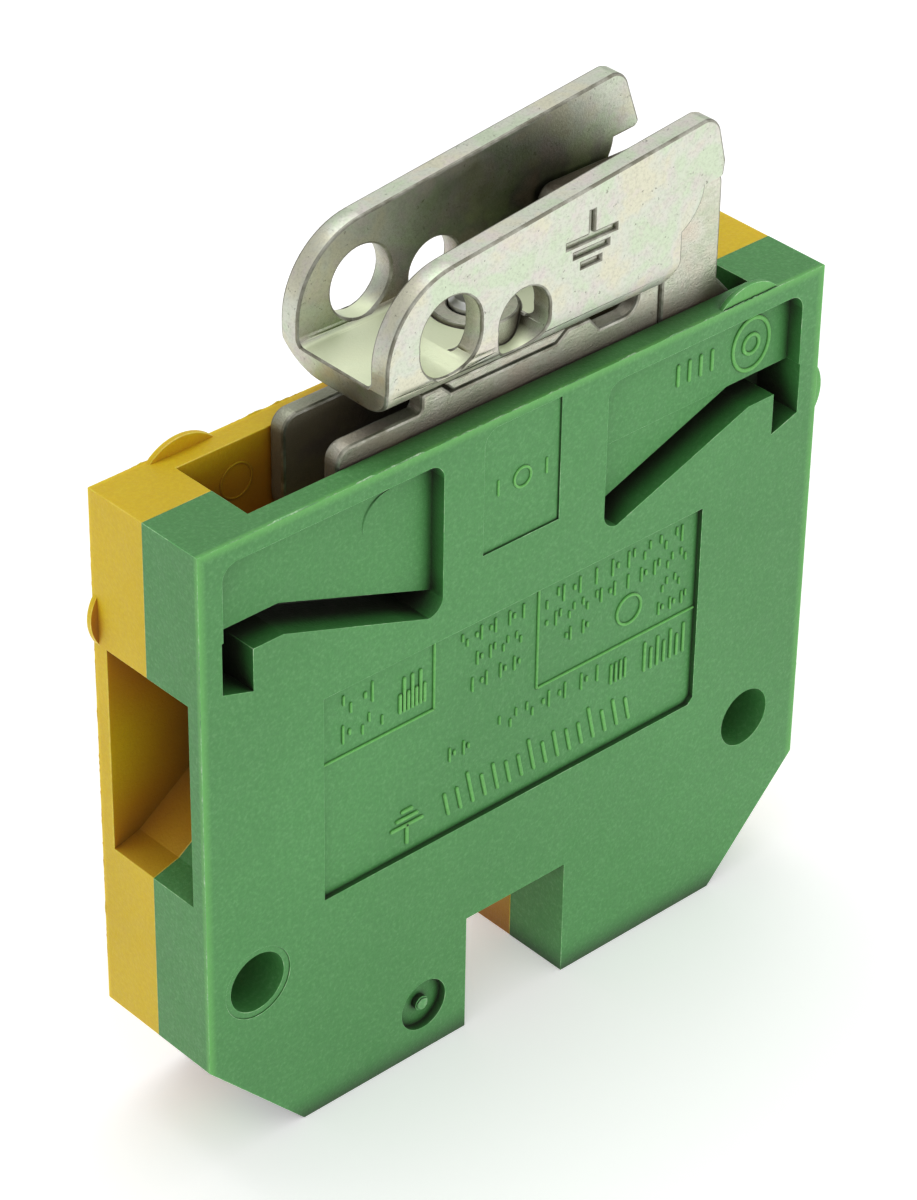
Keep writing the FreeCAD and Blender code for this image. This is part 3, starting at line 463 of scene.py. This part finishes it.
class Relief:
    """Raised strokes on one outer face of the housing, collected in one mesh.

    A place on the face is (u, v) in mm: u along the face from its middle, v up from the feet.
    """

    def __init__(self):
        self.mesh = bmesh.new()

    def raise_outline(self, shape, floor, rise, hole=None):
        """Lifts the outline shape(inset) off the face, its top a little smaller than its foot."""
        levels = ((floor - MARK_ROOT, 0.0), (floor + rise * 0.6, 0.0), (floor + rise, 0.045))
        loops = [[self.vertex(u, v, level) for u, v in shape(inset)] for level, inset in levels]
        self.wall(loops)
        if hole:
            inner = [[self.vertex(u, v, level) for u, v in hole(-inset)] for level, inset in levels]
            self.wall(inner, inward=True)
            self.strip(loops[-1], inner[-1])
            self.strip(inner[0], loops[0])
        else:
            self.mesh.faces.new(loops[-1])
            self.mesh.faces.new(list(reversed(loops[0])))

    def vertex(self, u, v, out):
        return self.mesh.verts.new((u * MM, -out * MM, v * MM))

    def strip(self, first, second):
        count = len(first)
        for index in range(count):
            follow = (index + 1) % count
            self.mesh.faces.new((first[index], first[follow], second[follow], second[index]))

    def wall(self, loops, inward=False):
        for lower, upper in zip(loops, loops[1:]):
            if inward:
                lower, upper = upper, lower
            self.strip(lower, upper)

    def bar(self, start, end, width, floor=PANEL_FLOOR, rise=MARK_RISE):
        """A stroke with round ends."""
        along = (Vector(end) - Vector(start)).normalized()
        across = Vector((-along.y, along.x))
        turns = [pi * step / 4 for step in range(5)]

        def shape(inset):
            half = width / 2 - inset
            tip = [Vector(end) + along * half * sin(a) - across * half * cos(a) for a in turns]
            tail = [Vector(start) - along * half * sin(a) + across * half * cos(a) for a in turns]
            return tip + tail

        self.raise_outline(shape, floor, rise)

    def ring(self, centre, radius, width, floor=PANEL_FLOOR, rise=MARK_RISE, tall=1.0):
        """A round or oval hoop."""
        sides = 36

        def hoop(size):
            return lambda inset: [
                (
                    centre[0] + (size - inset) * cos(2 * pi * step / sides),
                    centre[1] + (size - inset) * tall * sin(2 * pi * step / sides),
                )
                for step in range(sides)
            ]

        self.raise_outline(hoop(radius + width / 2), floor, rise, hole=hoop(radius - width / 2))

    def frame_lines(self, corners, width):
        for start, end in zip(corners, corners[1:]):
            self.bar(start, end, width)

    def blank_print(self, left, right, low, high, seed, stroke=0.13):
        """A row of plain upright strokes and dots where the real block has print."""
        height = high - low
        step = height * 0.42
        for count in range(int((right - left) / step) + 1):
            spot = left + step * count
            kind = int(5.99 * abs(sin(12.9898 * (seed + 1) + 4.1414 * count)))
            if kind in (0, 1):
                self.bar((spot, low), (spot, high), stroke)
            elif kind == 2:
                self.bar((spot, low), (spot, low + height * 0.45), stroke)
            elif kind == 3:
                self.bar((spot, high - height * 0.45), (spot, high), stroke)
            elif kind == 4:
                self.bar((spot, low + height * 0.4), (spot, low + height * 0.6), stroke * 1.4)

    def hatch(self, left, right, low, heights, lean, stroke):
        """A row of plain leaning strokes whose heights repeat."""
        pitch = (right - left) / (3 * len(heights))
        for count in range(3 * len(heights) + 1):
            spot = left + pitch * count
            height = heights[count % len(heights)]
            self.bar((spot, low), (spot + lean * height, low + height), stroke)

    def build(self, name, material, body, slot, rear=False):
        if rear:
            half_turn = Matrix.Rotation(pi, 3, "Z")
            bmesh.ops.rotate(self.mesh, verts=self.mesh.verts, cent=(0, 0, 0), matrix=half_turn)
        bmesh.ops.recalc_face_normals(self.mesh, faces=self.mesh.faces)
        return add_piece(name, self.mesh, material, body, slot)


def add_piece(name, mesh_data, material, body, slot, smooth=False):
    mesh = bpy.data.meshes.new(name)
    mesh_data.to_mesh(mesh)
    mesh_data.free()
    for polygon in mesh.polygons:
        polygon.use_smooth = smooth
    mesh.materials.append(material)
    piece = bpy.data.objects.new(name, mesh)
    scene.collection.objects.link(piece)
    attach(piece, body)
    return piece


# left end, right end, low and high edge of each row of print on the sunk panel
PRINT_ROWS = (
    (1.9, 11.8, 23.85, 24.75),
    (1.9, 11.8, 22.60, 23.35),
    (3.0, 5.1, 21.25, 21.95),
    (9.8, 11.8, 21.25, 21.95),
    (9.6, 11.8, 19.95, 20.60),
    (-3.8, 0.6, 24.05, 24.80),
    (-2.8, 0.6, 22.65, 23.35),
    (-3.1, 0.6, 21.15, 21.90),
    (-1.2, 5.7, 17.75, 18.65),
    (-5.2, -2.8, 17.55, 18.30),
    (-12.0, -8.8, 23.65, 24.75),
    (-12.0, -8.8, 22.00, 23.00),
)


def mark_face(name, material, slot, rear):
    """Plain raised lines, ticks and rings in place of the real block's print."""
    marks = Relief()
    line = 0.14
    marks.frame_lines(((-12.9, 21.25), (-5.68, 21.25), (-5.68, 25.2)), line)
    marks.frame_lines(((1.3, 25.2), (1.3, 19.25), (12.4, 19.25)), line)
    for seed, (left, right, low, high) in enumerate(PRINT_ROWS):
        marks.blank_print(left, right, low, high, seed)
    marks.hatch(-7.9, -6.3, 22.1, (1.0, 1.9), 0.0, 0.20)
    marks.ring((7.7, 21.2), 0.85, 0.16)
    marks.hatch(9.0, 11.8, 16.8, (1.7, 1.2), 0.0, 0.18)
    marks.hatch(6.6, 7.6, 17.1, (1.1,), 0.0, 0.16)
    marks.hatch(-4.6, 8.0, 14.3, (1.3, 1.3, 1.9, 1.3, 1.6), -0.22, 0.20)
    earth = (-7.4, 15.0)
    marks.bar((earth[0], earth[1] - 1.1), (earth[0], earth[1]), 0.22)
    for level, reach in ((0.0, 1.0), (0.45, 0.65), (0.9, 0.3)):
        marks.bar((earth[0] - reach, earth[1] + level), (earth[0] + reach, earth[1] + level), 0.22)
    for spot in (-1.8, 1.4):
        marks.bar((spot, 33.0), (spot, 32.2), 0.13, floor=BADGE_FLOOR, rise=0.09)
    marks.ring((-0.2, 32.6), 0.55, 0.14, floor=BADGE_FLOOR, rise=0.09)
    marks.ring((16.3, 33.3), 1.30, 0.20, floor=RECESS_FLOOR, rise=0.10, tall=1.15)
    marks.ring((16.3, 33.3), 0.55, 0.20, floor=RECESS_FLOOR, rise=0.10)
    for spot in (11.1, 11.9, 12.7, 13.5):
        marks.bar((spot, 34.0), (spot, 32.9), 0.20, floor=RECESS_FLOOR, rise=0.10)
    return marks.build(name, material, "housing", slot, rear)


def ejector_arc(name, centre, radius, first, last, floor, material, slot, rear=False):
    """The faint crescent that an ejector pin leaves: it fades out at both ends."""
    relief = Relief()
    steps = 24
    rails = ([], [], [])
    for step in range(steps + 1):
        share = step / steps
        turn = radians(first + (last - first) * share)
        swell = sin(pi * share) ** 0.7
        for rail, (offset, lift) in zip(rails, ((-0.09, -0.02), (0.0, 0.07 * swell), (0.09, -0.02))):
            reach = radius + offset * max(swell, 0.05)
            spot = (centre[0] + reach * cos(turn), centre[1] + reach * sin(turn))
            rail.append(relief.vertex(*spot, floor + lift))
    for low, high in zip(rails, rails[1:]):
        for step in range(steps):
            relief.mesh.faces.new((low[step], low[step + 1], high[step + 1], high[step]))
    low, _, high = rails
    for step in range(steps):
        relief.mesh.faces.new((high[step], high[step + 1], low[step + 1], low[step]))
    return relief.build(name, material, "housing", slot, rear)


def gate_scar(name, centre, floor, material, slot, rear=False):
    """The torn stub left where the moulding was broken off its sprue."""
    relief = Relief()
    sides = 11

    def torn(inset):
        for step in range(sides):
            turn = 2 * pi * step / sides
            reach = (0.34 + 0.10 * noise.noise((3 * cos(turn), 3 * sin(turn), 5.0))) * (1 - inset * 6)
            yield centre[0] + reach * cos(turn), centre[1] + reach * sin(turn)

    relief.raise_outline(torn, floor, 0.09)
    return relief.build(name, material, "housing", slot, rear)


# pitch of the fins' cross-sections, and how far a fin is rooted in its edge (mm)
FIN_PITCH = 0.12
FIN_ROOT = 0.12


def frayed_fin(name, start, end, rise, inward, height, material, slot, seed):
    """The ragged film of flash left along a moulded edge, from start to end (mm)."""
    fin = bmesh.new()
    start, end, rise, inward = (Vector(v) for v in (start, end, rise, inward))
    length = (end - start).length
    steps = int(length / FIN_PITCH)
    rows = []
    for step in range(steps + 1):
        share = step / steps
        foot = start.lerp(end, share)
        along = length * share
        ragged = 0.5 + 0.9 * noise.noise((along * 1.1, seed, 0.0))
        ragged += 0.5 * noise.noise((along * 4.5, seed, 3.0))
        top = max(0.0, ragged) * height * min(1.0, 12 * share, 12 * (1 - share))
        thick = 0.05 + 0.02 * noise.noise((along * 2.0, seed, 7.0))
        points = (
            foot - rise * FIN_ROOT,
            foot + rise * (top - 0.01) + inward * 0.01,
            foot + rise * top + inward * thick * 0.6,
            foot - rise * FIN_ROOT + inward * (thick + 0.06),
        )
        rows.append([fin.verts.new(p * MM) for p in points])
    for first, second in zip(rows, rows[1:]):
        for index in range(4):
            follow = (index + 1) % 4
            fin.faces.new((first[index], first[follow], second[follow], second[index]))
    fin.faces.new(rows[0])
    fin.faces.new(list(reversed(rows[-1])))
    bmesh.ops.recalc_face_normals(fin, faces=fin.faces)
    return add_piece(name, fin, material, "housing", slot, smooth=True)


def add_flash(looks):
    """Flash along the rims and ends of both halves."""
    end = HALF_LENGTH
    for half, way, colour in (("front", -1, "green"), ("rear", 1, "yellow")):
        slot = colour + "_polyamide"
        face = way * (FACE - 0.015)
        # the fins take the edge look: whitened burr with a painted highlight
        material = looks[colour + "_edge"]
        inward = (0, -way, 0)
        frayed_fin(
            half + "_rim_flash", (-end + 0.1, face, RIM - 0.03), (end - 0.1, face, RIM - 0.03),
            (0, 0, 1), inward, 0.10, material, slot, 1.5 + way,
        )
        for side in (-1, 1):
            frayed_fin(
                f"{half}_{'left' if side < 0 else 'right'}_end_flash",
                (side * (end - 0.03), face, 7.0), (side * (end - 0.03), face, RIM - 0.1),
                (side, 0, 0), inward, 0.07, material, slot, 4.0 + way + side,
            )


def add_details(looks):
    mark_face("front_face_marks", looks["green_lit_marks"], "green_polyamide", rear=False)
    mark_face("rear_face_marks", looks["yellow_print"], "yellow_polyamide", rear=True)
    halves = (("front", "green", False), ("rear", "yellow", True))
    for half, colour, rear in halves:
        slot = colour + "_polyamide"
        place = (half + "_ejector_mark", (-8.2, 33.2), 1.6, 85, 190, RECESS_FLOOR)
        ejector_arc(*place, looks[colour], slot, rear)
    for half, colour, rear in halves:
        slot = colour + "_polyamide"
        # the stub takes the edge look, with its painted highlight
        gate_scar(half + "_gate_scar", (-6.36, 3.0), GATE_STUB, looks[colour + "_edge"], slot, rear)
    for half, colour, rear, side in (("front", "green", True, 1), ("rear", "yellow", False, -1)):
        pin = Relief()
        pin.ring((12.75 * side, 34.5), 0.95, 0.13, floor=-CAVITY_WALL, rise=0.05)
        pin.build(half + "_pin_ring", looks[colour], "housing", colour + "_polyamide", rear)
    add_flash(looks)


# ---------------------------------------------------------------- stage


def make_floor():
    look = Graph("pale_floor_look")
    soft = look.ramp(look.noise(60.0, 3.0), (0.3, (0.95, 0.95, 0.95)), (0.7, (0.98, 0.98, 0.98)))
    look.shader.inputs["Roughness"].default_value = 0.7
    look.shader.inputs["Emission Color"].default_value = (1.0, 1.0, 1.0, 1.0)
    look.shader.inputs["Emission Strength"].default_value = 0.30
    material = look.finish(Base_Color=soft)
    reach = 1.5
    mesh = bpy.data.meshes.new("floor")
    corners = [(-reach, -reach, 0), (reach, -reach, 0), (reach, reach, 0), (-reach, reach, 0)]
    mesh.from_pydata(corners, [], [(0, 1, 2, 3)])
    mesh.materials.append(material)
    floor = bpy.data.objects.new("floor", mesh)
    scene.collection.objects.link(floor)


def add_softbox(name, place, target, size, power):
    lamp = bpy.data.lights.new(name, "AREA")
    lamp.shape = "RECTANGLE"
    lamp.size, lamp.size_y = size
    lamp.energy = power
    holder = bpy.data.objects.new(name, lamp)
    scene.collection.objects.link(holder)
    holder.location = place
    holder.rotation_euler = (Vector(target) - Vector(place)).to_track_quat("-Z", "Y").to_euler()


def light_stage():
    middle = (0.0, 0.0, 0.025)
    add_softbox("key_softbox", (-0.28, -0.16, 0.36), middle, (0.30, 0.30), 0.18)
    add_softbox("front_softbox", (0.16, -0.38, 0.03), middle, (0.36, 0.20), 0.54)
    add_softbox("top_softbox", (0.05, 0.12, 0.45), middle, (0.35, 0.25), 0.56)
    world = bpy.data.worlds.new("studio")
    scene.world = world
    world.use_nodes = True
    background = world.node_tree.nodes["Background"]
    background.inputs["Color"].default_value = (1.0, 1.0, 1.0, 1.0)
    background.inputs["Strength"].default_value = 0.62


VIEW_AZIMUTH = -42.77
VIEW_ELEVATION = 34.14
VIEW_ROLL = 0.95
VIEW_PLACE = (-118.379, -127.232, 141.126)
VIEW_LENS = 125.43


def place_camera():
    camera = bpy.data.cameras.new("camera")
    camera.sensor_width = 36.0
    camera.lens = VIEW_LENS
    camera.clip_start = 0.01
    holder = bpy.data.objects.new("camera", camera)
    scene.collection.objects.link(holder)
    turn = (
        Matrix.Rotation(radians(VIEW_AZIMUTH), 4, "Z")
        @ Matrix.Rotation(radians(90.0 - VIEW_ELEVATION), 4, "X")
        @ Matrix.Rotation(radians(VIEW_ROLL), 4, "Z")
    )
    holder.matrix_world = Matrix.Translation(Vector(VIEW_PLACE) * MM) @ turn
    scene.camera = holder


def main():
    scene.view_settings.view_transform = "Standard"
    place_camera()
    looks = make_looks()
    dress_nodes(looks)
    add_details(looks)
    make_floor()
    light_stage()


main()
